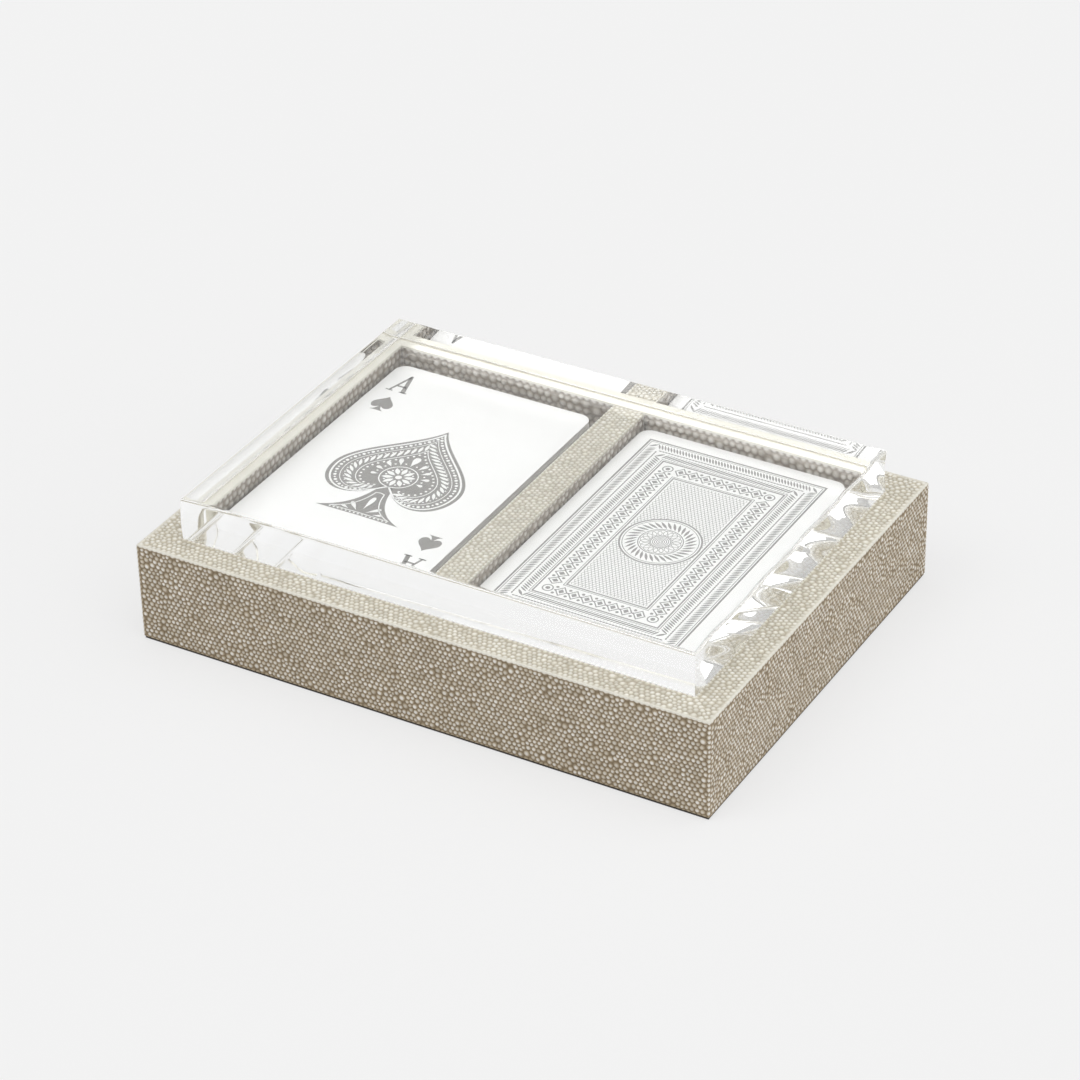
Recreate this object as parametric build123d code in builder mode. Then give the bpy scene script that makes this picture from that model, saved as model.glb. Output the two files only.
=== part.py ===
from build123d import *
import math
import os

# Playing card box: a low tray of boards wrapped in pebbled sheet, with two wells for two decks of
# cards and a thick clear slab that drops into a rebate as its lid.
# The origin is the middle of the underside, +X runs to the right along the front, +Y to the back.

# Driving dimensions, in millimetres

# Playing cards of bridge size, and how far a card in a used deck strays from its neighbours
card_width = 57.15
card_length = 88.9
card_thickness = 0.29
card_corner_radius = 3.2
cards_per_deck = 54
card_stagger = 0.12

# Steps of the stagger from card to card, in radians, unlike each other so that no row of cards lines up
stagger_step_x = 2.4
stagger_step_y = 1.7

# Room for a deck in its well, and where each deck lies in it, from the left side and from the back
deck_side_room = 5.75
deck_end_room = 5.3
deck_headroom = 3.75
left_deck_side_gap = 1.3
left_deck_back_gap = 2.7
right_deck_side_gap = 0.5
right_deck_back_gap = 1.0

# Boards of the tray
wall_thickness = 7.1
liner_thickness = 2.35
divider_thickness = 7.2
bottom_thickness = 4.1

# Sheet that covers the boards, and the other linings
cover_thickness = 0.8
seat_strip_thickness = 0.6
floor_pad_thickness = 0.9
base_pad_thickness = 0.5
base_pad_inset = 0.4

# Clear lid and the rebate that it drops into
lid_thickness = 13.8
lid_rebate_depth = 2.45
lid_clearance = 0.25
lid_edge_chamfer = 0.4
divider_below_seat = 0.3

# Sizes that follow from these
rim_width = cover_thickness + wall_thickness
seat_width = liner_thickness + cover_thickness
well_inset = rim_width + seat_width
divider_width = divider_thickness + 2 * cover_thickness
well_width = card_width + deck_side_room
well_length = card_length + deck_end_room
box_length = 2 * (well_inset + well_width) + divider_width
box_width = 2 * well_inset + well_length

# Levels, from the surface that the box stands on
bottom_top = base_pad_thickness + bottom_thickness
floor_top = bottom_top + floor_pad_thickness
deck_top = floor_top + cards_per_deck * card_thickness
seat_top = deck_top + deck_headroom
rim_top = seat_top + lid_rebate_depth
divider_top = seat_top - divider_below_seat
seat_strip_bottom = seat_top - seat_strip_thickness
rim_cover_bottom = rim_top - cover_thickness

# Each side of the box, seen from above: the way it runs and how far its outer face is from the middle
sides = {
    "front": ((1, 0, 0), (0, -1, 0), box_length, box_width / 2),
    "right": ((0, 1, 0), (1, 0, 0), box_width, box_length / 2),
    "back": ((-1, 0, 0), (0, 1, 0), box_length, box_width / 2),
    "left": ((0, -1, 0), (-1, 0, 0), box_width, box_length / 2),
}

# Each ring of four mitred strips: inset from the outer faces, thickness across, lower and upper level
rings = {
    "cover": (0, cover_thickness, base_pad_thickness, rim_cover_bottom),
    "wall": (cover_thickness, wall_thickness, base_pad_thickness, rim_cover_bottom),
    "rim_cover": (0, rim_width, rim_cover_bottom, rim_top),
    "liner": (rim_width, liner_thickness, bottom_top, seat_strip_bottom),
    "facing": (rim_width + liner_thickness, cover_thickness, bottom_top, seat_strip_bottom),
    "seat_strip": (rim_width, seat_width, seat_strip_bottom, seat_top),
}


def save(part, name):
    """Label a finished piece and write it to a file of that name."""
    part.label = name
    export_step(part, f"parts/{name}.step")


def mitred_strip(side, inset, thickness, lower, upper):
    """One side of a ring of strips, with both ends cut at 45 degrees to meet its neighbours."""
    along, outward, side_length, distance = sides[side]
    outer_middle = Vector(*outward) * (distance - inset) + Vector(0, 0, lower)
    half_outer = side_length / 2 - inset
    half_inner = half_outer - thickness
    with BuildPart() as strip:
        with BuildSketch(Plane(origin=outer_middle, x_dir=along, z_dir=(0, 0, 1))):
            with BuildLine():
                Polyline(
                    (-half_outer, 0),
                    (half_outer, 0),
                    (half_inner, thickness),
                    (-half_inner, thickness),
                    close=True,
                )
            make_face()
        extrude(amount=upper - lower)
    return strip.part


def slab(x_low, x_high, y_half, lower, upper):
    """A flat board between two places along X, as far to the front as to the back."""
    with BuildPart() as board:
        with BuildSketch(Plane(origin=((x_low + x_high) / 2, 0, lower))):
            Rectangle(x_high - x_low, 2 * y_half)
        extrude(amount=upper - lower)
    return board.part


def card(deck_x, deck_y, index):
    """The card at this place in a deck, counted from the bottom, a hair off its neighbours."""
    shift_x = card_stagger * math.sin(stagger_step_x * index)
    shift_y = card_stagger * math.cos(stagger_step_y * index)
    level = floor_top + index * card_thickness
    with BuildPart() as sheet:
        with BuildSketch(Plane(origin=(deck_x + shift_x, deck_y + shift_y, level))):
            RectangleRounded(card_width, card_length, card_corner_radius)
        extrude(amount=card_thickness)
    return sheet.part


os.makedirs("parts", exist_ok=True)

# Walls, covers, rim, liners, facings and lid seat: four strips each, mitred at the corners
for ring_name, ring in rings.items():
    for side_name in sides:
        save(mitred_strip(side_name, *ring), f"{side_name}_{ring_name}")

# Bottom board between the walls, with the liners standing on it
half_inside_length = box_length / 2 - rim_width
half_inside_width = box_width / 2 - rim_width
bottom_board = slab(
    -half_inside_length, half_inside_length, half_inside_width, base_pad_thickness, bottom_top
)
save(bottom_board, "bottom_board")

# Felt pad under the whole tray, set in from the edges
half_pad_length = box_length / 2 - base_pad_inset
half_pad_width = box_width / 2 - base_pad_inset
save(slab(-half_pad_length, half_pad_length, half_pad_width, 0, base_pad_thickness), "base_pad")

# Divider between the two wells: a board with a sheet on each side and a strip over the top
half_board = divider_thickness / 2
half_divider = divider_width / 2
half_well_length = well_length / 2
divider_board_top = divider_top - cover_thickness
save(slab(-half_board, half_board, half_well_length, bottom_top, divider_board_top), "divider")
save(slab(-half_divider, -half_board, half_well_length, bottom_top, divider_board_top), "divider_left_facing")
save(slab(half_board, half_divider, half_well_length, bottom_top, divider_board_top), "divider_right_facing")
save(slab(-half_divider, half_divider, half_well_length, divider_board_top, divider_top), "divider_top_cover")

# Soft pad on the floor of each well
well_outer = half_divider + well_width
save(slab(-well_outer, -half_divider, half_well_length, bottom_top, floor_top), "left_floor_pad")
save(slab(half_divider, well_outer, half_well_length, bottom_top, floor_top), "right_floor_pad")

# Clear slab lid, resting on the seat strips inside the rim
lid_inset = rim_width + lid_clearance
with BuildPart() as lid:
    with BuildSketch(Plane.XY.offset(seat_top)):
        Rectangle(box_length - 2 * lid_inset, box_width - 2 * lid_inset)
    extrude(amount=lid_thickness)
    chamfer(lid.edges(), length=lid_edge_chamfer)
save(lid.part, "lid")

# The two decks, each near the left side of its well, with the card on top as a piece of its own
left_deck_x = -well_outer + left_deck_side_gap + card_width / 2
right_deck_x = half_divider + right_deck_side_gap + card_width / 2
left_deck_y = half_well_length - left_deck_back_gap - card_length / 2
right_deck_y = half_well_length - right_deck_back_gap - card_length / 2
decks = (
    ("left_deck", "ace_card", left_deck_x, left_deck_y),
    ("right_deck", "back_card", right_deck_x, right_deck_y),
)
for deck_name, top_card_name, deck_x, deck_y in decks:
    lower_cards = [card(deck_x, deck_y, index) for index in range(cards_per_deck - 1)]
    save(Compound(children=lower_cards), deck_name)
    save(card(deck_x, deck_y, cards_per_deck - 1), top_card_name)

print(f"box {box_length:.2f} x {box_width:.2f} x {seat_top + lid_thickness:.2f}, rim at {rim_top:.2f}")
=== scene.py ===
import math
from dataclasses import dataclass

import bmesh
import bpy
import numpy as np
from mathutils import Matrix, Vector
from mathutils.geometry import delaunay_2d_cdt


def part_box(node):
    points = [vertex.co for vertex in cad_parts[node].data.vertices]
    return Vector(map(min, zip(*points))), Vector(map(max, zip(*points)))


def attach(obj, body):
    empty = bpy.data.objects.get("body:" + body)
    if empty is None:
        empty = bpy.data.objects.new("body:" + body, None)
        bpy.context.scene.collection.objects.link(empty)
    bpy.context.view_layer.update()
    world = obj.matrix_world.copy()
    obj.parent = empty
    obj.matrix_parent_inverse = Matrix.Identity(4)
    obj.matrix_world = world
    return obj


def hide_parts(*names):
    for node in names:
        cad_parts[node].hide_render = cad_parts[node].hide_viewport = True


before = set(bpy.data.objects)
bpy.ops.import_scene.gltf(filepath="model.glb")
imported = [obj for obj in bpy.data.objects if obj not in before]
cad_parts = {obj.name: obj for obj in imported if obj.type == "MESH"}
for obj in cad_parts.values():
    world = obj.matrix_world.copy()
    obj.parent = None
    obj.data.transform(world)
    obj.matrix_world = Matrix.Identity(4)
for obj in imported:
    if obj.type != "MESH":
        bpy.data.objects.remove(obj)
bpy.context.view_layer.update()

# Looks of a playing card box: a tray covered in pebbled sheet, a clear slab as its lid, two decks of cards.
# Shapes are laid out in millimetres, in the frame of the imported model, and go to Blender in metres.
MM = 0.001

# Pebbled sheet: distance of the pebbles outside and inside, their relief, the rounding of edges, and how much
# shorter half a rounded edge is than a sharp one
OUTER_PITCH = 1.34
INNER_PITCH = 2.05
PEBBLE_RELIEF = 0.32
EDGE_RADIUS = 0.6
BEND_GAIN = EDGE_RADIUS * (1 - math.pi / 4)

# Seeds of the pebbles: how far they are shaken, how many are left out, how they are evened out, and how far
# they keep from the border
SEED_JITTER = 0.30
DROPPED_SHARE = 0.04
RELAX_ROUNDS = 2
RELAX_STEP = 0.5
BORDER_CLEARANCE = 0.62

# A pebble is a round bead: its radius as a share of half the way to its neighbours, and the heights of its
# top, its two rings and the hollows round it
BEAD_SHARE = 0.95
LEAST_SWELL = 0.78
BORDER_SWELL = 0.92
INNER_RING, INNER_RING_HEIGHT = 0.60, 0.86
OUTER_RING, OUTER_RING_HEIGHT = 1.0, 0.36
HOLLOW_HEIGHT = 0.08
BORDER_HEIGHT = 0.6

# Outer edges are worn smooth over these widths, on the rim and on the sides, and the foot is folded under
# Along these worn edges the sheet is also painted pale: partly the worn sheet, partly a painted highlight
RIM_LIP = 1.2
SIDE_LIP = 0.5
WORN_HEIGHT = 0.86
# The folded foot is also painted dark, as a painted shadow line under the sheet's lower edge
FOOT_FOLD = 0.55
FOLD_HEIGHT = 0.70

# Clear lid: air under it, its index, which is below that of real acrylic, its rounded edges, and how finely
# its sides are divided
LID_AIR = 0.05
LID_INDEX = 1.40
LID_ROUNDING = 0.8
ROUNDING_STEPS = 6
SIDE_LEVELS = 28
SIDE_STEPS = 160
SHARP_ANGLE = math.radians(40)

# Polishing wore the lid's sides away towards their edges, most on the left, and left waves on the right
CROWN_REACH = 9.5
LONG_CROWN = 0.05
LEFT_CROWN = 0.60
WAVE_DEPTH = 0.42
WAVE_START = 6.0
WAVE_LENGTH = 22.0
WAVE_SHRINK = 0.14
WAVE_RISE = 15.0

# Felt: cells along each side of its mesh, how uneven it is, and the lengths of its ripples
FELT_CELLS = 90
FELT_WAVE = 0.04
RIPPLE_X, RIPPLE_Y, RIPPLE_BEND = 5.3, 6.1, 7.9

# Ink on the cards: how far it is sunk in and stands proud. White lies on grey, and one line over another
INK_SUNK = 0.004
INK_PROUD = 0.010
LIGHT_INK_PROUD = 0.018
CROSSING_LIFT = 0.003
MITRE_LIMIT = 0.35

# Large spade: the place that its inlay is drawn round, and how far from there the cleft at its foot reaches
SPADE_HEART = np.array((0.0, -3.2))
CLEFT_REACH = 11.0

# Lattice on the card back, and the round left free for a rosette
LATTICE_INSET = 18.4
LATTICE_TILT = 58
LATTICE_SPACING = 0.82
LATTICE_WIDTH = 0.118
LATTICE_REACH = 70
ROSETTE_RADIUS = 10.3

# Camera that took the picture: a square frame, the place it looks at and from where
SENSOR = 36.0
LENS = 125.99
AZIMUTH, ELEVATION, ROLL = 30.523, 32.73, -1.255
DISTANCE = 961.57
AIM = Vector((-14.68, 26.50, 0.0))

# Light: a little from all round, more from overhead and from the right, and one soft lamp
ROUND_LIGHT = 0.14
OVERHEAD_LIGHT = 1.62
OVERHEAD_POWER = 4.0
RIGHT_LIGHT = 1.24
LAMP_LIGHT = 0.24
LAMP_SIDE = Vector((-0.55, -0.70, 1.0))
LAMP_SPREAD = math.radians(40)

# Sky as it is seen: as pale as the floor, palest overhead, and darker low down in front
SKY_SEEN = 0.89
SKY_OVERHEAD = 0.40
ROOM_SHADE = 0.46
ROOM_SIDE = (0.0, -1.0, -0.6)
ROOM_START = 0.2
ROOM_FULL = 0.7

# Floor as it is seen, how much of that doesn't depend on the shadow, and how far it goes in metres
FLOOR_SEEN = (0.855, 0.855, 0.855)
FLOOR_GLOW = 0.75
FLOOR_REACH = 6.0

# Bounces of a ray, many of them inside the lid
RAY_DEPTH = 96

# Sides of the box, seen from above: the way each runs, and the way it faces
UP = Vector((0, 0, 1))
SIDES = {
    "front": (Vector((1, 0, 0)), Vector((0, -1, 0))),
    "right": (Vector((0, 1, 0)), Vector((1, 0, 0))),
    "back": (Vector((-1, 0, 0)), Vector((0, 1, 0))),
    "left": (Vector((0, -1, 0)), Vector((-1, 0, 0))),
}


def node_box(node):
    """Lowest and highest corner of a node, in millimetres."""
    low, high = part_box(node)
    return low / MM, high / MM


def reach(node, direction):
    """How far a node goes in a direction, in millimetres from the origin."""
    low, high = node_box(node)
    return sum(max(a * d, b * d) for a, b, d in zip(low, high, direction))


# Sizes that come from the frame
SHEET_THICKNESS = node_box("front_rim_cover")[1].z - node_box("front_rim_cover")[0].z
RIM_TOP = node_box("front_rim_cover")[1].z


# Materials

def add_node(tree, kind, inputs, **settings):
    """The outputs of a new shader node, with numbers or what other nodes give at its inputs."""
    node = tree.nodes.new("ShaderNode" + kind)
    for name, value in settings.items():
        setattr(node, name, value)
    for name, value in inputs.items():
        if isinstance(value, bpy.types.NodeSocket):
            tree.links.new(value, node.inputs[name])
        else:
            node.inputs[name].default_value = value
    return node.outputs


def math_node(tree, operation, *values):
    """The outcome of an operation on numbers and on what other nodes give."""
    return add_node(tree, "Math", dict(enumerate(values)), operation=operation)["Value"]


class Material:
    """A procedural material, with short calls that add and join its nodes."""

    def __init__(self, name):
        self.made = bpy.data.materials.new(name)
        self.made.use_nodes = True
        self.tree = self.made.node_tree
        self.surface = self.tree.nodes["Principled BSDF"]

    def attribute(self, name):
        return add_node(self.tree, "Attribute", {}, attribute_name=name)["Fac"]

    def noise(self, scale, detail=3.0, stretch=(1, 1, 1)):
        """Cloudy noise with this many spots to a metre of the piece, from 0 to 1."""
        place = add_node(self.tree, "TexCoord", {})["Object"]
        mapped = add_node(self.tree, "Mapping", {"Vector": place, "Scale": stretch})["Vector"]
        return add_node(self.tree, "TexNoise", {"Vector": mapped, "Scale": scale, "Detail": detail})["Fac"]

    def ramp(self, factor, *stops):
        """A colour or a grey that follows a factor through stops of place and value."""
        made = self.tree.nodes.new("ShaderNodeValToRGB")
        spots = made.color_ramp.elements
        while len(spots) < len(stops):
            spots.new(0.5)
        for spot, (place, value) in zip(spots, stops):
            spot.position = place
            colour = value if isinstance(value, tuple) else (value,) * 3
            spot.color = (*colour, 1.0)
        self.tree.links.new(factor, made.inputs["Fac"])
        return made.outputs["Color"]

    def blend(self, first, second, factor=1.0, mode="MULTIPLY"):
        """Two colours blended, by a fixed share or by a factor."""
        inputs = {"Factor": factor, "A": first, "B": second}
        return add_node(self.tree, "Mix", inputs, data_type="RGBA", blend_type=mode)["Result"]

    def feed(self, name, source):
        """Join what a node gives to an input of the shader."""
        self.tree.links.new(source, self.surface.inputs[name])

    def colour(self, source):
        self.feed("Base Color", source)

    def roughness(self, source):
        self.feed("Roughness", source)

    def bump(self, height, depth, strength):
        """Surface relief of this depth in millimetres."""
        inputs = {"Height": height, "Distance": depth * MM, "Strength": strength}
        self.feed("Normal", add_node(self.tree, "Bump", inputs)["Normal"])

    def set(self, **values):
        """Even values, set on the shader's own sockets."""
        for name, value in values.items():
            self.surface.inputs[name.replace("_", " ")].default_value = value


def pebbled_material(name, *stops):
    """Lacquered pebbled sheet: brown hollows and pale polished tops, partly the sheet's own two tones and
    partly painted shade in the hollows and a painted highlight on the tops; no two pebbles quite alike.
    """
    m = Material(name)
    relief = m.attribute("relief")
    # The relief ramp paints the hollows dark, as painted shade, and the tops pale, as a painted highlight
    base = m.ramp(relief, *stops)
    tones = m.ramp(m.attribute("tone"), (0.0, (0.80, 0.79, 0.77)), (0.5, 0.93), (1.0, 1.0))
    clouds = m.ramp(m.noise(70.0), (0.3, (0.93, 0.92, 0.90)), (0.7, 1.0))
    # Worn edges are blended to a pale colour: partly the worn sheet, partly a painted highlight along the
    # edge
    worn = m.ramp(m.attribute("wear_and_highlight"), (0.0, 0.0), (0.7, 0.7), (1.0, 0.8))
    pale = m.ramp(m.noise(500.0), (0.3, (0.64, 0.615, 0.54)), (0.7, (0.71, 0.685, 0.61)))
    m.colour(m.blend(m.blend(m.blend(base, tones), clouds), pale, worn, "MIX"))
    m.roughness(m.ramp(relief, (0.0, 0.70), (0.6, 0.42), (1.0, 0.30)))
    m.bump(m.noise(3800.0, 4.0), 0.02, 0.4)
    return m.made


def cream_material():
    """Cream lacquer, on the lid seat and the walls."""
    m = Material("cream_lacquer")
    m.colour(m.ramp(m.noise(160.0, 4.0), (0.3, (0.80, 0.775, 0.69)), (0.7, (0.85, 0.83, 0.75))))
    m.roughness(m.ramp(m.noise(420.0), (0.3, 0.40), (0.7, 0.52)))
    m.bump(m.noise(2200.0, 3.0), 0.01, 0.4)
    return m.made


def board_material():
    """Pressed fibre board, which shows only on cut edges."""
    m = Material("fibre_board")
    fibres = m.noise(900.0, 5.0, stretch=(0.35, 1.0, 1.6))
    m.colour(m.ramp(fibres, (0.3, (0.36, 0.27, 0.17)), (0.7, (0.50, 0.39, 0.26))))
    m.roughness(m.ramp(fibres, (0.3, 0.82), (0.7, 0.94)))
    m.bump(fibres, 0.05, 0.6)
    return m.made


def felt_material(name, dark, pale):
    """Felt or suede with a short nap, between two colours."""
    m = Material(name)
    nap = m.noise(1500.0, 6.0)
    clouds = m.ramp(m.noise(55.0, 3.0), (0.3, 0.86), (0.7, 1.0))
    m.colour(m.blend(m.ramp(nap, (0.3, dark), (0.7, pale)), clouds))
    m.roughness(m.ramp(nap, (0.2, 0.86), (0.8, 0.98)))
    m.bump(nap, 0.08, 0.8)
    m.set(Sheen_Weight=0.35, Sheen_Roughness=0.5)
    return m.made


def card_material():
    """Smooth coated card, with a faint laid finish."""
    m = Material("card_stock")
    m.colour(m.ramp(m.noise(240.0, 4.0), (0.3, (0.915, 0.914, 0.909)), (0.7, (0.935, 0.934, 0.93))))
    m.roughness(m.ramp(m.noise(900.0), (0.3, 0.36), (0.7, 0.46)))
    m.bump(m.noise(2600.0, 2.0), 0.006, 0.3)
    return m.made


def ink_material(name, thin, full):
    """Printing ink that covers a little unevenly."""
    m = Material(name)
    m.colour(m.ramp(m.noise(1300.0, 4.0), (0.25, full), (0.8, thin)))
    m.roughness(m.ramp(m.noise(700.0), (0.3, 0.42), (0.7, 0.55)))
    return m.made


def clear_material():
    """Polished acrylic, with the faintest green."""
    m = Material("clear_acrylic")
    m.set(Base_Color=(0.982, 0.986, 0.982, 1.0), Roughness=0.0, IOR=LID_INDEX, Transmission_Weight=1.0)
    return m.made


# Pieces

def add_object(name, data):
    """A new object in the scene."""
    made = bpy.data.objects.new(name, data)
    bpy.context.scene.collection.objects.link(made)
    return made


def add_piece(name, points, faces, material, body, smooth=None):
    """A mesh piece from points in millimetres, which rides on a body of the frame."""
    mesh = bpy.data.meshes.new(name)
    mesh.from_pydata((np.asarray(points) * MM).tolist(), [], faces)
    if smooth is not None:
        mesh.polygons.foreach_set("use_smooth", smooth)
    mesh.materials.append(material)
    mesh.update()
    piece = add_object(name, mesh)
    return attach(piece, body)


def band(one, two, closed=True):
    """Four-sided faces between two rows of points, given by their numbers."""
    faces = np.column_stack([one, np.roll(one, -1), np.roll(two, -1), two]).tolist()
    return faces if closed else faces[:-1]


def weld(piece):
    """Merge the points of a piece that lie at one place."""
    shape = bmesh.new()
    shape.from_mesh(piece.data)
    bmesh.ops.remove_doubles(shape, verts=shape.verts, dist=1e-4 * MM)
    shape.to_mesh(piece.data)
    shape.free()


# Pebbled sheet

@dataclass
class Trapezoid:
    """An outline with two level edges, even about its middle: half of each edge, and its level."""
    half_low: float
    half_high: float
    low: float
    high: float

    def edges(self):
        """Both ends of each edge, anticlockwise."""
        corners = np.array([
            (-self.half_low, self.low),
            (self.half_low, self.low),
            (self.half_high, self.high),
            (-self.half_high, self.high),
        ])
        return zip(corners, np.roll(corners, -1, axis=0))

    def half_at(self, level_share):
        return self.half_low + level_share * (self.half_high - self.half_low)

    def onto(self, other, places):
        """The same places on another such outline."""
        level_share = (places[:, 1] - self.low) / (self.high - self.low)
        side_share = places[:, 0] / self.half_at(level_share)
        u = side_share * other.half_at(level_share)
        return np.column_stack([u, other.low + level_share * (other.high - other.low)])


def nearness(distance, width):
    """1 at an edge, and 0 from this width on."""
    return np.clip(1 - distance / width, 0, 1) if width else np.zeros(len(distance))


@dataclass
class Panel:
    """A run of sheet: where its face lies, its outline there and at its back, and where it starts to bend."""
    origin: Vector
    across: Vector
    upward: Vector
    front: Trapezoid
    back: Trapezoid
    flat_half: float = math.inf
    flat_low: float = -math.inf
    flat_high: float = math.inf
    worn_low: float = 0.0
    worn_high: float = 0.0
    folded_low: float = 0.0

    def points(self, local):
        """Points in the frame, from places across, up and out of the face."""
        axes = np.array([self.across, self.upward, self.across.cross(self.upward)])
        return np.array(self.origin) + local @ axes

    def wear_and_highlight(self, places):
        """How worn the sheet is at these places, up to 1 at a worn edge. The same share paints a pale
        highlight along that edge.
        """
        at_low = nearness(places[:, 1] - self.front.low, self.worn_low)
        return np.maximum(at_low, nearness(self.front.high - places[:, 1], self.worn_high))

    def fold_and_foot_shade(self, places):
        """How flat the pebbles are pressed at these places, up to 1 at a folded foot. The same share paints a
        dark shadow line along the foot.
        """
        return nearness(places[:, 1] - self.front.low, self.folded_low)


def wrap(panel, places, sink):
    """Points in the frame for places on the unrolled sheet, sunk under its face by these depths."""
    flat = np.column_stack([
        np.clip(places[:, 0], -panel.flat_half, panel.flat_half),
        np.clip(places[:, 1], panel.flat_low, panel.flat_high),
    ])
    slope = np.tan((places - flat) / EDGE_RADIUS)
    normal = np.column_stack([slope, np.ones(len(places))])
    normal /= np.linalg.norm(normal, axis=1)[:, None]
    centre = np.column_stack([flat, np.full(len(places), -EDGE_RADIUS)])
    return panel.points(centre + normal * (EDGE_RADIUS - sink)[:, None])


def border_seeds(outline, pitch):
    """Even seeds along the outline, so that the pebbles of two panels join at their seam."""
    seeds = []
    for start, end in outline.edges():
        steps = max(1, round(np.linalg.norm(end - start) / pitch))
        seeds += [start + (end - start) * step / steps for step in range(steps)]
    return np.array(seeds)


def inner_seeds(outline, pitch, draw):
    """Seeds in shaken rows inside the outline. Some are left out, so that pebbles differ in size."""
    row = pitch * math.sqrt(3) / 2
    half = max(outline.half_low, outline.half_high)
    rows = int((outline.high - outline.low) / row) + 2
    columns = int(2 * half / pitch) + 3
    level, column = np.meshgrid(np.arange(rows), np.arange(columns), indexing="ij")
    u = (column + 0.5 * (level % 2)) * pitch - half
    v = outline.low + level * row
    seeds = np.column_stack([u.ravel(), v.ravel()])
    seeds = seeds + draw.uniform(-SEED_JITTER, SEED_JITTER, seeds.shape) * pitch
    kept = draw.random(len(seeds)) > DROPPED_SHARE
    for start, end in outline.edges():
        way = (end - start) / np.linalg.norm(end - start)
        inward = (seeds - start) @ np.array([-way[1], way[0]])
        kept &= inward > BORDER_CLEARANCE * pitch
    return seeds[kept]


def triangulate(seeds, border_count):
    """Triangles between the seeds, inside the border that the first of them make."""
    points = [Vector(seed) for seed in seeds]
    found = delaunay_2d_cdt(points, [], [list(range(border_count))], 1, 1e-7)
    return np.array(found[2])


def relax(seeds, border_count):
    """Move each inner seed towards the middle of its neighbours."""
    triangles = triangulate(seeds, border_count)
    total = np.zeros_like(seeds)
    count = np.zeros(len(seeds))
    for turn in (1, 2):
        np.add.at(total, triangles.ravel(), seeds[np.roll(triangles, turn, axis=1).ravel()])
        np.add.at(count, triangles.ravel(), 1)
    moved = seeds + RELAX_STEP * (total / count[:, None] - seeds)
    moved[:border_count] = seeds[:border_count]
    return moved


def pebble_seeds(outline, pitch, draw):
    """Seeds of the pebbles in an outline, those on its border first, and how many these are."""
    border = border_seeds(outline, pitch)
    seeds = np.vstack([border, inner_seeds(outline, pitch, draw)])
    for _ in range(RELAX_ROUNDS):
        seeds = relax(seeds, len(border))
    return seeds, len(border)


class SpokeNet:
    """The net between the seeds. A triangle's corner is part of a pebble, between two of its spokes."""

    def __init__(self, seeds, triangles):
        count = len(seeds)
        self.seeds = seeds
        self.pebble = triangles.ravel()
        to_right = self.pebble * count + np.roll(triangles, -1, axis=1).ravel()
        to_left = self.pebble * count + np.roll(triangles, 1, axis=1).ravel()
        spokes, spoke_ids = np.unique(np.concatenate([to_right, to_left]), return_inverse=True)
        self.right_spoke, self.left_spoke = np.split(spoke_ids, 2)
        self.owner, neighbour = spokes // count, spokes % count
        shared = np.minimum(self.owner, neighbour) * count + np.maximum(self.owner, neighbour)
        edges, self.edge_of_spoke = np.unique(shared, return_inverse=True)
        self.on_border = np.bincount(self.edge_of_spoke[self.right_spoke], minlength=len(edges)) == 1
        self.edge_middles = (seeds[edges // count] + seeds[edges % count]) / 2
        self.triangle_middles = seeds[triangles].mean(axis=1)
        self.corner_triangle = np.repeat(np.arange(len(triangles)), 3)

    def bead_offsets(self):
        """From the middle of each pebble to the edge of its bead, along the spokes and at the corners."""
        count = len(self.seeds)
        spoke_ends = self.edge_middles[self.edge_of_spoke] - self.seeds[self.owner]
        to_middle = self.triangle_middles[self.corner_triangle] - self.seeds[self.pebble]
        length = np.linalg.norm(spoke_ends, axis=1)
        shortest = np.full(count, np.inf)
        np.minimum.at(shortest, self.owner, length)
        average = np.bincount(self.owner, length, count) / np.bincount(self.owner, minlength=count)
        radius = BEAD_SHARE * (shortest + average) / 2
        spoke_ends *= np.minimum(radius[self.owner] / length, BEAD_SHARE)[:, None]
        to_middle *= np.minimum(radius[self.pebble] / np.linalg.norm(to_middle, axis=1), BEAD_SHARE)[:, None]
        return spoke_ends, to_middle

    def faces(self, inner_spokes, inner_corners, outer_spokes, outer_corners, edges):
        """Four-sided faces, from the first number of each kind of point. The triangles' points come last."""
        corner = np.arange(len(self.pebble))
        inner_right, inner_left = inner_spokes + self.right_spoke, inner_spokes + self.left_spoke
        outer_right, outer_left = outer_spokes + self.right_spoke, outer_spokes + self.left_spoke
        inner_corner, outer_corner = inner_corners + corner, outer_corners + corner
        edge_right = edges + self.edge_of_spoke[self.right_spoke]
        edge_left = edges + self.edge_of_spoke[self.left_spoke]
        middle = edges + len(self.edge_middles) + self.corner_triangle
        kinds = np.array([
            (self.pebble, inner_right, inner_corner, inner_left),
            (inner_right, outer_right, outer_corner, inner_corner),
            (inner_corner, outer_corner, outer_left, inner_left),
            (outer_right, edge_right, middle, outer_corner),
            (outer_corner, middle, edge_left, outer_left),
        ])
        return kinds.transpose(0, 2, 1).reshape(-1, 4)


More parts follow.
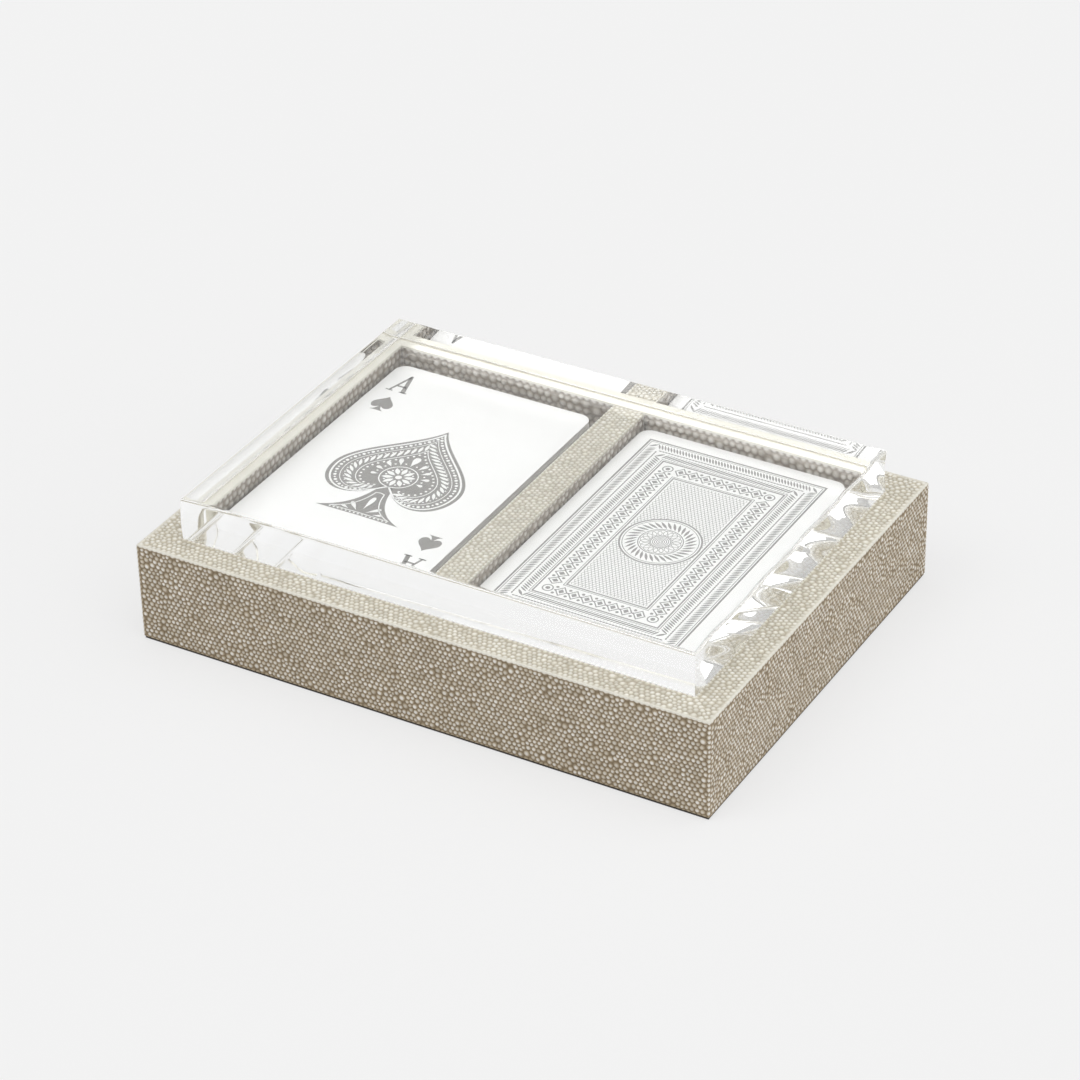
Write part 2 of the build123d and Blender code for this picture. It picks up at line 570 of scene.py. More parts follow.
def pebble_skin(outline, pitch, draw):
    """Places, heights, tones and faces of pebbles that fill an outline. Each is a centre and two rings."""
    seeds, border_count = pebble_seeds(outline, pitch, draw)
    net = SpokeNet(seeds, triangulate(seeds, border_count))
    tone = draw.random(len(seeds))
    swell = draw.uniform(LEAST_SWELL, 1.0, len(seeds))
    tone[:border_count] = 1.0
    swell[:border_count] = BORDER_SWELL
    places, heights, tones = [seeds], [swell], [tone]
    total = len(seeds)
    starts = []
    spoke_ends, to_middle = net.bead_offsets()
    for share, height in ((INNER_RING, INNER_RING_HEIGHT), (OUTER_RING, OUTER_RING_HEIGHT)):
        for holder, offset in ((net.owner, spoke_ends), (net.pebble, to_middle)):
            places.append(seeds[holder] + share * offset)
            heights.append(height * swell[holder])
            tones.append(tone[holder])
            starts.append(total)
            total += len(holder)
    places += [net.edge_middles, net.triangle_middles]
    heights += [np.where(net.on_border, BORDER_HEIGHT, HOLLOW_HEIGHT), np.zeros(len(net.triangle_middles))]
    tones += [np.full(len(net.edge_middles) + len(net.triangle_middles), 0.5)]
    return np.vstack(places), np.concatenate(heights), np.concatenate(tones), net.faces(*starts, total)


def border_loop(faces, point_count):
    """The points along the border of the faces, in order, anticlockwise."""
    starts = faces.ravel()
    ends = np.roll(faces, -1, axis=1).ravel()
    alone = ~np.isin(ends * point_count + starts, starts * point_count + ends)
    following = dict(zip(starts[alone].tolist(), ends[alone].tolist()))
    loop = [min(following)]
    while following[loop[-1]] != loop[0]:
        loop.append(following[loop[-1]])
    return np.array(loop)


def pebbled_piece(node, panel, pitch, seed, material):
    """A closed piece of pebbled sheet that takes the place of a node of the tray."""
    places, heights, tones, faces = pebble_skin(panel.front, pitch, np.random.default_rng(seed))
    # The worn share flattens the edges and also paints them pale, partly as a painted highlight
    wear_and_highlight = panel.wear_and_highlight(places)
    heights = heights + wear_and_highlight * (WORN_HEIGHT - heights)
    fold_and_foot_shade = panel.fold_and_foot_shade(places)
    skin = wrap(panel, places, (1 - heights - fold_and_foot_shade * (FOLD_HEIGHT - heights)) * PEBBLE_RELIEF)
    # From here the heights only set the colour: they fall to 0 at the folded foot, a painted shadow line
    # there
    heights = heights * (1 - fold_and_foot_shade)
    loop = border_loop(faces, len(skin))
    back_places = panel.front.onto(panel.back, places[loop])
    back = panel.points(np.column_stack([back_places, np.full(len(loop), -SHEET_THICKNESS)]))
    twin = len(skin) + np.arange(len(loop))
    walls = band(twin, loop)
    all_faces = faces.tolist() + walls + [twin[::-1].tolist()]
    smooth = [True] * len(faces) + [False] * (len(walls) + 1)
    piece = add_piece(f"{node}_sheet", np.vstack([skin, back]), all_faces, material, "tray", smooth)
    # The relief also sets the colour: low points get painted shade, high points a painted highlight
    for attribute, values, at_back in (("relief", heights, 0.25), ("tone", tones, 0.5), ("wear_and_highlight", wear_and_highlight, 0.0)):
        data = piece.data.attributes.new(attribute, "FLOAT", "POINT").data
        data.foreach_set("value", np.append(values, np.full(len(loop), at_back)).astype(np.float32))
    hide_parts(node)


def cover_panel(side):
    """Outer face of a side, bent to meet its neighbours and the rim half way round each edge."""
    along, outward = SIDES[side]
    node = f"{side}_cover"
    half, low = reach(node, along), node_box(node)[0].z
    return Panel(
        origin=outward * reach(node, outward),
        across=along,
        upward=UP,
        front=Trapezoid(half - BEND_GAIN, half - BEND_GAIN, low + BEND_GAIN, RIM_TOP - BEND_GAIN),
        back=Trapezoid(half - SHEET_THICKNESS, half - SHEET_THICKNESS, low, RIM_TOP - SHEET_THICKNESS),
        flat_half=half - EDGE_RADIUS,
        flat_low=low + EDGE_RADIUS,
        flat_high=RIM_TOP - EDGE_RADIUS,
        worn_high=SIDE_LIP,
        folded_low=FOOT_FOLD,
    )


def rim_panel(side):
    """Mitred top of a side, bent over its outer edge. Levels on it are counted inwards from that edge."""
    along, outward = SIDES[side]
    node = f"{side}_rim_cover"
    half = reach(node, along)
    width = reach(node, outward) + reach(node, -outward)
    return Panel(
        origin=outward * reach(node, outward) + UP * RIM_TOP,
        across=along,
        upward=-outward,
        front=Trapezoid(half - BEND_GAIN, half - width, BEND_GAIN, width),
        back=Trapezoid(half - SHEET_THICKNESS, half - width, SHEET_THICKNESS, width),
        flat_half=half - EDGE_RADIUS,
        flat_low=EDGE_RADIUS,
        worn_low=RIM_LIP,
    )


def facing_panel(side):
    """Inner face of a side, which looks into the wells."""
    along, outward = SIDES[side]
    node = f"{side}_facing"
    low, high = node_box(node)
    half_back = reach(node, along)
    half = half_back - SHEET_THICKNESS
    return Panel(
        origin=-outward * reach(node, -outward),
        across=-along,
        upward=UP,
        front=Trapezoid(half, half, low.z, high.z),
        back=Trapezoid(half_back, half_back, low.z, high.z),
    )


def divider_panel(node, facing, along):
    """One sheet of the divider, which faces left, right or up."""
    upward = facing.cross(along)
    half = reach(node, along)
    outline = Trapezoid(half, half, -reach(node, -upward), reach(node, upward))
    return Panel(facing * reach(node, facing), along, upward, outline, outline)


def add_pebbled_sheets():
    """All the pebbled sheets of the tray, in three copies of one sheet painted for the light each gets: the
    tops paler, as painted light from overhead, the sides with their hollows painted darkest, as painted
    shade, and the linings in between.
    """
    # Sides: the shaded copy, with the darkest painted shade in its hollows
    side = pebbled_material(
        "pebbled_side_painted_shade",
        (0.00, (0.180, 0.131, 0.074)),
        (0.30, (0.317, 0.250, 0.160)),
        (0.64, (0.480, 0.412, 0.309)),
        (0.84, (0.730, 0.694, 0.641)),
        (1.00, (0.854, 0.837, 0.812)),
    )
    # Linings inside the wells: a copy between the two, set for the light there
    inside = pebbled_material(
        "pebbled_lining",
        (0.00, (0.295, 0.253, 0.203)),
        (0.30, (0.406, 0.358, 0.303)),
        (0.66, (0.538, 0.493, 0.440)),
        (0.86, (0.740, 0.710, 0.669)),
        (1.00, (0.831, 0.813, 0.785)),
    )
    # Tops: the lit copy, painted paler as if lit from overhead
    top = pebbled_material(
        "pebbled_top_painted_lit",
        (0.00, (0.440, 0.395, 0.305)),
        (0.30, (0.560, 0.518, 0.425)),
        (0.66, (0.680, 0.650, 0.565)),
        (0.86, (0.800, 0.785, 0.725)),
        (1.00, (0.860, 0.852, 0.815)),
    )
    for number, name in enumerate(SIDES):
        for kind, panel, pitch, material, seed in (
            ("cover", cover_panel(name), OUTER_PITCH, side, 10),
            ("rim_cover", rim_panel(name), OUTER_PITCH, top, 20),
            ("facing", facing_panel(name), INNER_PITCH, inside, 30),
        ):
            pebbled_piece(f"{name}_{kind}", panel, pitch, seed + number, material)
    to_back, left, right = Vector((0, 1, 0)), Vector((-1, 0, 0)), Vector((1, 0, 0))
    for number, (node, facing, along, pitch, material) in enumerate((
        ("divider_left_facing", left, -to_back, INNER_PITCH, inside),
        ("divider_right_facing", right, to_back, INNER_PITCH, inside),
        ("divider_top_cover", UP, to_back, OUTER_PITCH, top),
    )):
        pebbled_piece(node, divider_panel(node, facing, along), pitch, 40 + number, material)


# Clear lid

def rounding_inset(from_edge):
    """How far a side is set in where its edge is rounded."""
    short = max(0.0, LID_ROUNDING - from_edge)
    return LID_ROUNDING - math.sqrt(LID_ROUNDING ** 2 - short ** 2)


def worn_inset(from_edge):
    """How much of the wear at an edge is left at this distance from it, as a share."""
    return max(0.0, 1 - from_edge / CROWN_REACH) ** 2


def crowned_inset(crown, below_top, above_bottom):
    """How far a crowned side of the lid is set in at a level."""
    worn = worn_inset(below_top) + worn_inset(above_bottom)
    return rounding_inset(min(below_top, above_bottom)) + crown * worn


def wavy_inset(along, from_front, below_top, above_bottom):
    """How far the wavy right side of the lid is set in at a place. The waves are longer at the front."""
    waves = -math.log(1 - WAVE_SHRINK * along / WAVE_LENGTH) / WAVE_SHRINK + above_bottom / WAVE_RISE
    depth = WAVE_DEPTH * min(1.0, from_front / WAVE_START)
    inset = depth * (0.5 + 0.5 * math.sin(2 * math.pi * waves))
    return rounding_inset(min(below_top, above_bottom)) + inset


def lid_levels(low, high):
    """Levels of the lid's sides, closer together where the edges are rounded."""
    turns = np.linspace(0, math.pi / 2, ROUNDING_STEPS + 1)
    bends = LID_ROUNDING * (1 - np.cos(turns))
    flat = np.linspace(LID_ROUNDING, high - low - LID_ROUNDING, SIDE_LEVELS)
    return low + np.concatenate([bends[:-1], flat, (high - low) - bends[-2::-1]])


def add_lid():
    """The slab: rounded at its edges, wavy on the right, a little crowned on the other three sides."""
    low, high = node_box("lid")
    bottom = low.z + LID_AIR
    levels = lid_levels(bottom, high.z)
    points = []
    for level in levels:
        edges = (high.z - level, level - bottom)
        half_y = high.y - crowned_inset(LONG_CROWN, *edges)
        steps = np.linspace(-half_y, half_y, SIDE_STEPS + 1)
        points += [(high.x - wavy_inset(y, y - low.y, *edges), y, level) for y in steps]
        points += [(low.x + crowned_inset(LEFT_CROWN, *edges), y, level) for y in steps[::-1]]
    rows = np.arange(len(points)).reshape(len(levels), -1)
    faces = []
    for lower, upper in zip(rows, rows[1:]):
        faces += band(lower, upper)
    faces += [rows[0][::-1].tolist(), rows[-1].tolist()]
    piece = add_piece("clear_lid", points, faces, clear_material(), "lid", [True] * len(faces))
    piece.data.set_sharp_from_angle(angle=SHARP_ANGLE)
    for face in (-1, -2):
        piece.data.polygons[face].use_smooth = False
    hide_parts("lid")


# Felt under the tray and linings on the floors of the wells

def add_felt(name, node, material):
    """A flat sheet of felt with a rounded edge and a surface that isn't quite even."""
    low, high = node_box(node)
    thickness = high.z - low.z
    middle = (low.z + high.z) / 2
    crowded = np.sin(np.linspace(-math.pi / 2, math.pi / 2, FELT_CELLS + 1))
    x = (low.x + high.x) / 2 + crowded * (high.x - low.x) / 2
    y = (low.y + high.y) / 2 + crowded * (high.y - low.y) / 2
    grid_x, grid_y = np.meshgrid(x, y)
    to_edge = np.minimum.reduce([grid_x - low.x, high.x - grid_x, grid_y - low.y, high.y - grid_y])
    short = 1 - np.clip(to_edge / (thickness / 2), 0, 1)
    half = np.sqrt(np.clip(1 - short ** 2, 0, 1)) * thickness / 2
    ripple = np.sin(grid_x / RIPPLE_X + np.sin(grid_y / RIPPLE_BEND)) * np.sin(grid_y / RIPPLE_Y + 0.7)
    surface = half + FELT_WAVE * (ripple - 1) / 2 * (half > 0)
    points = np.vstack([
        np.column_stack([grid_x.ravel(), grid_y.ravel(), (middle + sign * surface).ravel()])
        for sign in (1, -1)
    ])
    top = np.arange(grid_x.size).reshape(grid_x.shape)
    bottom = top + top.size
    faces = []
    for row in range(FELT_CELLS):
        faces += band(top[row], top[row + 1], closed=False)
        faces += band(bottom[row + 1], bottom[row], closed=False)
    piece = add_piece(name, points, faces, material, "tray", [True] * len(faces))
    weld(piece)
    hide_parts(node)


# Print on the cards

class Print:
    """Flat printed shapes on a card, gathered into one mesh. Places are from the card's middle."""

    def __init__(self, card, proud=INK_PROUD):
        low, high = (np.array(corner) for corner in node_box(card))
        self.middle = (low + high)[:2] / 2
        self.half = (high - low)[:2] / 2
        self.low = high[2] - INK_SUNK
        self.high = high[2] + proud
        self.points = []
        self.faces = []

    def row(self, places, level):
        """Add places at a level, and tell their numbers."""
        first = len(self.points)
        self.points += [(*(self.middle + place), level) for place in np.asarray(places)]
        return list(range(first, len(self.points)))

    def patch(self, outline):
        """A filled shape with an anticlockwise outline."""
        lower, upper = self.row(outline, self.low), self.row(outline, self.high)
        self.faces += [upper, lower[::-1]] + band(lower, upper)

    def line(self, places, width, closed=False, lift=0.0):
        """A line of even width, mitred where it turns, and lifted where it crosses others."""
        places = np.asarray(places, float)
        ways = np.roll(places, -1, axis=0) - places
        ways /= np.linalg.norm(ways, axis=1)[:, None]
        if not closed:
            ways[-1] = ways[-2]
        before = np.roll(ways, 1, axis=0)
        if not closed:
            before[0] = ways[0]
        side = np.column_stack([-(ways + before)[:, 1], (ways + before)[:, 0]])
        side /= np.linalg.norm(side, axis=1)[:, None]
        across = side[:, 0] * -ways[:, 1] + side[:, 1] * ways[:, 0]
        side *= (width / 2 / np.maximum(across, MITRE_LIMIT))[:, None]
        borders = (places + side, places - side)
        upper_left, upper_right = (self.row(border, self.high + lift) for border in borders)
        lower_left, lower_right = (self.row(border, self.low) for border in borders)
        rows = [upper_right, upper_left, lower_left, lower_right]
        for one, two in zip(rows, rows[1:] + rows[:1]):
            self.faces += band(one, two, closed)
        if not closed:
            self.faces += [[row[0] for row in rows], [row[-1] for row in reversed(rows)]]

    def piece(self, name, material, body):
        return add_piece(name, self.points, self.faces, material, body)


def curve(start, first_pull, second_pull, end, steps=14):
    """Places along a curve that two pulls bend. The last place is left to what follows."""
    a, b, c, d = (np.array(place, float) for place in (start, first_pull, second_pull, end))
    share = np.linspace(0, 1, steps + 1)[:-1, None]
    rest = 1 - share
    return rest ** 3 * a + 3 * rest ** 2 * share * b + 3 * rest * share ** 2 * c + share ** 3 * d


def turned(places, degrees):
    """Places turned about the middle."""
    angle = math.radians(degrees)
    turn = np.array([[math.cos(angle), math.sin(angle)], [-math.sin(angle), math.cos(angle)]])
    return np.asarray(places, float) @ turn


def disc(radius, middle=(0, 0), steps=18):
    """A round outline."""
    angles = np.arange(steps) * 2 * math.pi / steps
    return np.column_stack([np.cos(angles), np.sin(angles)]) * radius + np.array(middle)


def mirrored(*parts):
    """A whole outline from the parts of its right half, which starts and ends on the middle line."""
    right = np.vstack(parts)
    left = right[::-1] * (-1, 1)
    return np.vstack([right, left[np.abs(left[:, 0]) > 1e-6]])


def drop(length, width, steps=8):
    """A drop that stands on its point, with its round end up."""
    half, shoulder = width / 2, length * 0.72
    side = curve((0, 0), (width * 0.15, length * 0.35), (half, length * 0.5), (half, shoulder), steps)
    crown = curve((half, shoulder), (half, length * 0.92), (half / 2, length), (0, length), steps)
    return mirrored(side, crown, [(0, length)])


def leaf(length, width, steps=6):
    """A slender upright leaf about the middle, pointed at both ends."""
    share = np.linspace(0, 1, steps + 1)
    return mirrored(np.column_stack([width / 2 * np.sin(share * math.pi), length * (share - 0.5)]))


def spade_body():
    """Outline of a spade without its stem, about 36 wide."""
    return mirrored(
        curve((0, -8.4), (1.6, -9.4), (3.0, -12.6), (7.4, -14.2), 8),
        curve((7.4, -14.2), (13.6, -16.2), (18.3, -11.4), (18.3, -4.6)),
        curve((18.3, -4.6), (18.3, 5.0), (4.6, 11.4), (0, 21.0), 20),
        [(0, 21.0)],
    )


def spade_stem():
    """Outline of the flared stem of that spade."""
    return mirrored(
        [(0, -22.6)],
        curve((11.8, -22.8), (6.2, -20.6), (3.0, -16.6), (1.7, -8.6), 12),
        [(1.7, -8.6), (0, -8.2)],
    )


def letter_strokes():
    """Outlines that make a capital A of 8.5 high, with a thin left leg, a thick right leg and feet."""
    return [
        [(-2.35, 0.0), (-1.75, 0.0), (0.35, 7.6), (0.0, 8.5), (-0.15, 8.5)],
        [(1.35, 0.0), (2.65, 0.0), (0.45, 8.5), (-0.15, 8.5), (-0.35, 7.7)],
        [(-1.35, 2.5), (1.6, 2.5), (1.45, 3.1), (-1.2, 3.1)],
        [(-3.0, 0.0), (-1.0, 0.0), (-1.0, 0.42), (-3.0, 0.42)],
        [(0.9, 0.0), (3.1, 0.0), (3.1, 0.42), (0.9, 0.42)],
    ]


def add_corner_index(ink, flip):
    """The letter and the small spade in a corner of the ace, upright for 1 and upside down for -1."""
    letter_foot = np.array((-22.5, 31.8))
    pip_middle, pip_scale = np.array((-22.2, 25.5)), 0.163
    for stroke in letter_strokes():
        ink.patch((np.array(stroke) + letter_foot) * flip)
    for outline in (spade_body(), spade_stem()):
        ink.patch((outline * pip_scale + pip_middle) * flip)


def even_places(path, count):
    """Even places along a closed path: each number and place, and the way that the path runs there."""
    steps = np.linalg.norm(np.roll(path, -1, axis=0) - path, axis=1)
    travelled = np.concatenate([[0], np.cumsum(steps)])
    for number in range(count):
        goal = travelled[-1] * number / count
        spot = np.searchsorted(travelled, goal, side="right") - 1
        share = (goal - travelled[spot]) / steps[spot]
        start, end = path[spot], path[(spot + 1) % len(path)]
        way = math.degrees(math.atan2(*(end - start)[::-1]))
        yield number, start * (1 - share) + end * share, way


def smaller_spade(share):
    """The outline of the large spade, drawn in towards its heart."""
    return (spade_body() - SPADE_HEART) * share + SPADE_HEART


def spade_ring(share, count):
    """Even places on a smaller spade, apart from those in the narrow cleft at its foot."""
    for number, place, way in even_places(smaller_spade(share), count):
        if np.linalg.norm(place - SPADE_HEART) > CLEFT_REACH * share:
            yield number, place, way


def add_spade_rings(light):
    """Lines, beads and leaves that follow the outline of the large spade."""
    light.line(smaller_spade(0.935), 0.5, closed=True)
    for share, width in ((0.80, 0.2), (0.585, 0.24)):
        path = smaller_spade(share)
        light.line(path[np.linalg.norm(path - SPADE_HEART, axis=1) > CLEFT_REACH * share], width)
    for number, place, _ in spade_ring(0.867, 84):
        light.patch(disc(0.46 if number % 2 else 0.3, place, 10))
    for _, place, way in spade_ring(0.69, 46):
        light.patch(turned(leaf(3.1, 0.86), way - 48) + place)
    for share, count, radius in ((0.745, 46, 0.24), (0.525, 40, 0.34)):
        for _, place, _ in spade_ring(share, count):
            light.patch(disc(radius, place, 8))


def add_spade_flower(light):
    """A flower at the heart of the large spade, and drops that stand round it."""
    petal_turn = 36
    for turn in range(0, 360, petal_turn):
        light.patch(turned(leaf(3.0, 1.25) + (0, 2.85), turn) + SPADE_HEART)
        light.patch(turned(disc(0.3, (0, 3.6), 8), turn + petal_turn / 2) + SPADE_HEART)
    light.line(disc(4.9, SPADE_HEART, 40), 0.3, closed=True)
    light.patch(disc(0.85, SPADE_HEART, 14))
    light.patch(drop(4.6, 1.9) + (0, 5.5) + SPADE_HEART)
    for flip in (1, -1):
        for bearing, length, width in ((26, 3.4, 1.2), (50, 2.7, 1.1), (74, 2.4, 1.1), (98, 2.0, 1.0)):
            light.patch(turned(drop(length, width) + (0, 5.5), bearing * flip) + SPADE_HEART)
            light.patch(turned(disc(0.3, (0, 6.4), 8), (bearing - 12) * flip) + SPADE_HEART)


def add_stem_inlay(light):
    """A line and drops in the stem of the large spade, and a row of beads along its foot."""
    for flip in (1, -1):
        light.patch(turned(drop(4.2, 1.1), -44 * flip) + (1.3 * flip, -20.9))
        light.patch(turned(drop(2.6, 0.8), -72 * flip) + (3.4 * flip, -21.0))
    for number in range(-7, 8):
        light.patch(disc(0.27, (1.16 * number, -22.1), 8))
    light.line((spade_stem() - (0, -19.0)) * 0.70 + (0, -19.0), 0.28, closed=True)
    light.patch(drop(6.0, 1.3) + (0, -19.8))


def add_ace_print():
    """The ace: corner marks, and a large spade inlaid with rings of beads and leaves round a flower."""
    ink, light = Print("ace_card"), Print("ace_card", LIGHT_INK_PROUD)
    for flip in (1, -1):
        add_corner_index(ink, flip)
    ink.patch(spade_body())
    ink.patch(spade_stem())
    add_spade_rings(light)
    add_spade_flower(light)
    add_stem_inlay(light)
    grey = ink_material("grey_ink", (0.285, 0.277, 0.264), (0.23, 0.222, 0.211))
    white = ink_material("white_ink", (0.925, 0.925, 0.92), (0.905, 0.905, 0.90))
    ink.piece("ace_print", grey, "left_deck")
    light.piece("ace_print_inlay", white, "left_deck")


def rectangle(half_width, half_length):
    """A rectangle about the middle, anticlockwise."""
    return np.array([(-1, -1), (1, -1), (1, 1), (-1, 1)]) * (half_width, half_length)


def along_band(half, inset, spacing, corner_gap):
    """Even places along the sides of a frame, clear of its corners, each with the turn of its side."""
    half_width, half_length = half - inset
    sides = [(half_width, half_length), (half_length, half_width)] * 2
    for quarter, (half_side, reach_out) in enumerate(sides):
        free = half_side - corner_gap
        count = max(2, round(2 * free / spacing))
        for number in range(count):
            offset = -free + (number + 0.5) * 2 * free / count
            yield turned([(offset, reach_out)], 90 * quarter)[0], 90 * quarter


def corners_of(half, inset):
    """The four corners of a frame: each place, and the turn that lays an upright shape across it."""
    for corner in rectangle(1, 1):
        yield corner * (half - inset), math.degrees(math.atan2(*corner))


def clipped_line(start, way, half, radius, shortest=0.3):
    """The parts of a line in a field, outside a round left free in its middle, as pairs of ends."""
    low, high = -math.inf, math.inf
    for place, step, limit in zip(start, way, half):
        if abs(step) > 1e-9:
            ends = sorted(((-limit - place) / step, (limit - place) / step))
            low, high = max(low, ends[0]), min(high, ends[1])
    if high <= low:
        return []
    nearest = -(start @ way)
    off = np.linalg.norm(start + way * nearest)
    spans = [(low, high)]
    if off < radius:
        half_chord = math.sqrt(radius ** 2 - off ** 2)
        spans = [(low, min(high, nearest - half_chord)), (max(low, nearest + half_chord), high)]
    return [(start + way * a, start + way * b) for a, b in spans if b - a > shortest]


def add_bands(ink):
    """Lines, leaves, dashes and a chain that frame the card back."""
    half, dash_inset, chain_inset = ink.half, 7.98, 14.5
    for inset, width in ((4.1, 0.5), (4.75, 0.2), (11.2, 0.2), (11.8, 0.42), (17.2, 0.2), (17.8, 0.42)):
        ink.line(rectangle(*(half - inset)), width, closed=True)
    for inset, tilt in ((6.2, 30), (9.75, -30)):
        for place, turn in along_band(half, inset, 0.84, 1.1):
            ink.patch(turned(leaf(2.6, 0.5), tilt + turn) + place)
        for place, turn in corners_of(half, inset):
            ink.patch(turned(leaf(2.8, 0.7), turn) + place)
    for place, turn in along_band(half, dash_inset, 0.84, 0.5):
        ink.patch(turned(leaf(1.0, 0.44), 90 + turn) + place)
    for place, turn in along_band(half, chain_inset, 3.3, 1.9):
        ink.line(turned([(-1.5, 0), (0, -1.8), (1.5, 0), (0, 1.8)], turn) + place, 0.3, closed=True)
        ink.patch(turned([(-0.75, 0), (0, -0.9), (0.75, 0), (0, 0.9)], turn) + place)
        for side in (1, -1):
            ink.patch(turned(disc(0.42, (1.65, 1.35 * side), 10), turn) + place)
        ink.patch(turned(disc(0.3, (1.65, 0), 8), turn) + place)
    for place, _ in corners_of(half, chain_inset):
        ink.line(disc(1.3, place, 16), 0.3, closed=True)
        ink.patch(disc(0.6, place, 12))


def add_lattice(ink):
    """Two sets of fine lines that cross in the middle field, clear of the rosette."""
    field = ink.half - LATTICE_INSET
    for tilt, lift in ((LATTICE_TILT, 0.0), (-LATTICE_TILT, CROSSING_LIFT)):
        way = turned([(1.0, 0.0)], tilt)[0]
        across = np.array([-way[1], way[0]]) * LATTICE_SPACING
        for number in range(-LATTICE_REACH, LATTICE_REACH + 1):
            for start, end in clipped_line(across * number, way, field, ROSETTE_RADIUS):
                ink.line([start, end], LATTICE_WIDTH, lift=lift)


def add_rosette(ink):
    """Rings, a wreath of leaves and overlapping loops in the middle."""
    for radius, width, steps in ((10.0, 0.46, 64), (9.3, 0.2, 64), (5.5, 0.26, 48)):
        ink.line(disc(radius, steps=steps), width, closed=True)
    leaf_count, loop_count = 34, 18
    for number in range(leaf_count):
        ink.patch(turned(turned(leaf(3.5, 0.7), 30) + (0, 7.3), 360 / leaf_count * number))
    for number in range(loop_count):
        ink.line(turned(disc(1.2, (0, 3.9), 20), 360 / loop_count * number), 0.16, closed=True)
    for radius in (0.45, 0.95, 1.45, 1.95, 2.45):
        ink.line(disc(radius, steps=28), 0.2, closed=True)


def add_back_print():
    """The card back: framed bands of leaves and of a chain round a latticed field with a rosette."""
    ink = Print("back_card")
    add_bands(ink)
    add_lattice(ink)
    add_rosette(ink)
    grey = ink_material("pale_grey_ink", (0.30, 0.295, 0.285), (0.235, 0.23, 0.222))
    ink.piece("back_print", grey, "right_deck")


# Nodes of the frame that stay as they are

def dress_nodes():
    """Procedural materials for the boards, the lid seat and the cards."""
    cream, board, card = cream_material(), board_material(), card_material()
    finish_of = {"bottom_board": board, "divider": board}
    for side in SIDES:
        finish_of |= {f"{side}_wall": cream, f"{side}_liner": board, f"{side}_seat_strip": cream}
    for node in ("left_deck", "right_deck", "ace_card", "back_card"):
        finish_of[node] = card
    for node, material in finish_of.items():
        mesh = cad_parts[node].data
        mesh.materials.clear()
        mesh.materials.append(material)


# Floor, light and camera

def seen_directly(tree):
    """A factor that is 1 for rays from the camera, and for those that gloss or glass sends on."""
    rays = add_node(tree, "LightPath", {})
    sent_on = math_node(tree, "MAXIMUM", rays["Is Glossy Ray"], rays["Is Transmission Ray"])
    return math_node(tree, "MAXIMUM", rays["Is Camera Ray"], sent_on)


def add_floor():
    """A plain pale floor, far wider than the view, whose own paleness softens the shadow on it."""
    m = Material("studio_floor")
    m.colour(m.ramp(m.noise(3.0), (0.3, 0.885), (0.7, 0.891)))
    m.set(Roughness=0.9, Specular_IOR_Level=0.0)
    glow = add_node(m.tree, "Emission", {"Color": (*FLOOR_SEEN, 1.0)})["Emission"]
    share = math_node(m.tree, "MULTIPLY", seen_directly(m.tree), FLOOR_GLOW)
    mixed = add_node(m.tree, "MixShader", {"Fac": share, 1: m.surface.outputs["BSDF"], 2: glow})["Shader"]
    m.tree.links.new(mixed, m.tree.nodes["Material Output"].inputs["Surface"])
    mesh = bpy.data.meshes.new("floor")
    mesh.from_pydata([(*corner, 0) for corner in rectangle(FLOOR_REACH, FLOOR_REACH)], [], [(0, 1, 2, 3)])
    mesh.materials.append(m.made)
    floor = add_object("floor", mesh)


def grown(tree, source, power, gain, base):
    """base + gain * source to a power, where the source is above 0."""
    above = math_node(tree, "MAXIMUM", source, 0.0)
    return math_node(tree, "MULTIPLY_ADD", math_node(tree, "POWER", above, power), gain, base)


def room_shade(tree, way):
    """1 all round, and less low down in front, where the room is darker."""
    toward = add_node(tree, "VectorMath", {0: way, 1: ROOM_SIDE}, operation="DOT_PRODUCT")["Value"]
    limits = {"From Min": ROOM_START, "From Max": ROOM_FULL, "To Min": 1.0, "To Max": ROOM_SHADE}
    return add_node(tree, "MapRange", {"Value": toward} | limits, interpolation_type="SMOOTHSTEP")["Result"]


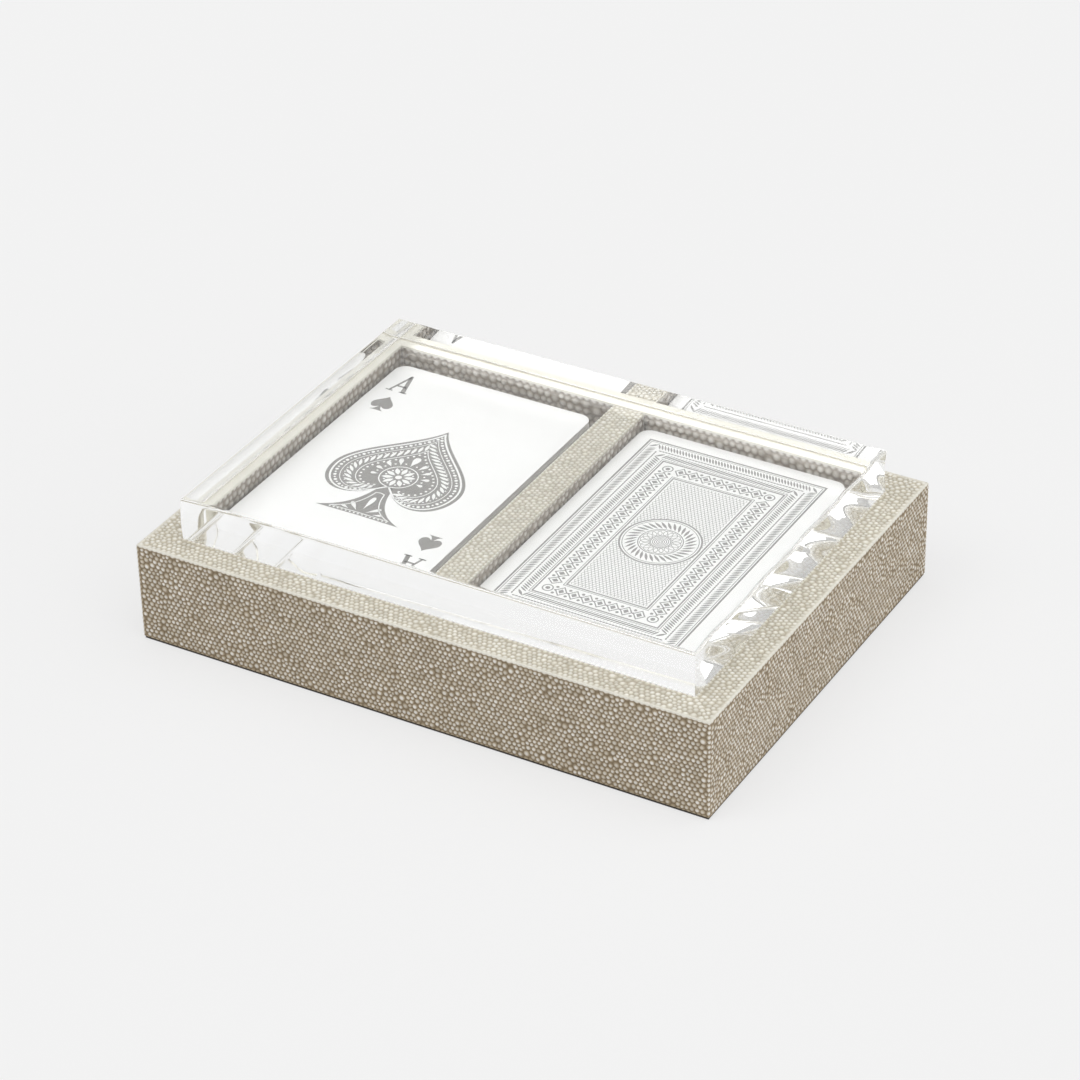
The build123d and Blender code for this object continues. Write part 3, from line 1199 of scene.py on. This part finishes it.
def add_world():
    """Soft light, strongest overhead and stronger from the right. The sky that is seen is pale instead."""
    world = bpy.data.worlds.new("studio")
    bpy.context.scene.world = world
    world.use_nodes = True
    tree = world.node_tree
    tree.nodes.clear()
    way = add_node(tree, "TexCoord", {})["Generated"]
    parts = add_node(tree, "SeparateXYZ", {"Vector": way})
    overhead = grown(tree, parts["Z"], OVERHEAD_POWER, OVERHEAD_LIGHT, ROUND_LIGHT)
    light = grown(tree, parts["X"], 1.0, RIGHT_LIGHT, overhead)
    sky = grown(tree, parts["Z"], OVERHEAD_POWER, SKY_OVERHEAD, SKY_SEEN)
    seen = math_node(tree, "MULTIPLY", room_shade(tree, way), sky)
    white = (1.0, 1.0, 1.0, 1.0)
    unseen_sky, seen_sky = (
        add_node(tree, "Background", {"Color": white, "Strength": strength})["Background"]
        for strength in (light, seen)
    )
    mixed = add_node(tree, "MixShader", {"Fac": seen_directly(tree), 1: unseen_sky, 2: seen_sky})["Shader"]
    add_node(tree, "OutputWorld", {"Surface": mixed})


def add_lamp():
    """A soft lamp, high up in front and to the left."""
    lamp = bpy.data.lights.new("lamp", "SUN")
    lamp.energy = LAMP_LIGHT * math.pi
    lamp.angle = LAMP_SPREAD
    add_object("lamp", lamp).rotation_euler = LAMP_SIDE.to_track_quat("Z", "Y").to_euler()


def add_camera():
    """The camera, at the place that the picture was taken from."""
    data = bpy.data.cameras.new("camera")
    data.sensor_width = SENSOR
    data.lens = LENS
    camera = add_object("camera", data)
    camera.matrix_world = (
        Matrix.Translation(AIM * MM)
        @ Matrix.Rotation(math.radians(AZIMUTH), 4, "Z")
        @ Matrix.Rotation(math.radians(90 - ELEVATION), 4, "X")
        @ Matrix.Rotation(math.radians(ROLL), 4, "Z")
        @ Matrix.Translation((0, 0, DISTANCE * MM))
    )
    bpy.context.scene.camera = camera


def set_light_paths():
    """Enough bounces for light that is mirrored many times inside the lid, and no blurred gloss."""
    cycles = bpy.context.scene.cycles
    cycles.max_bounces = cycles.glossy_bounces = cycles.transmission_bounces = RAY_DEPTH
    cycles.blur_glossy = 0.0


add_camera()
add_floor()
add_world()
add_lamp()
dress_nodes()
add_pebbled_sheets()
add_lid()
felt = felt_material("base_felt", (0.030, 0.026, 0.022), (0.060, 0.052, 0.045))
lining = felt_material("floor_lining", (0.40, 0.375, 0.330), (0.54, 0.515, 0.465))
add_felt("base_felt", "base_pad", felt)
add_felt("left_floor_lining", "left_floor_pad", lining)
add_felt("right_floor_lining", "right_floor_pad", lining)
add_ace_print()
add_back_print()
bpy.context.scene.view_settings.view_transform = "Standard"
set_light_paths()
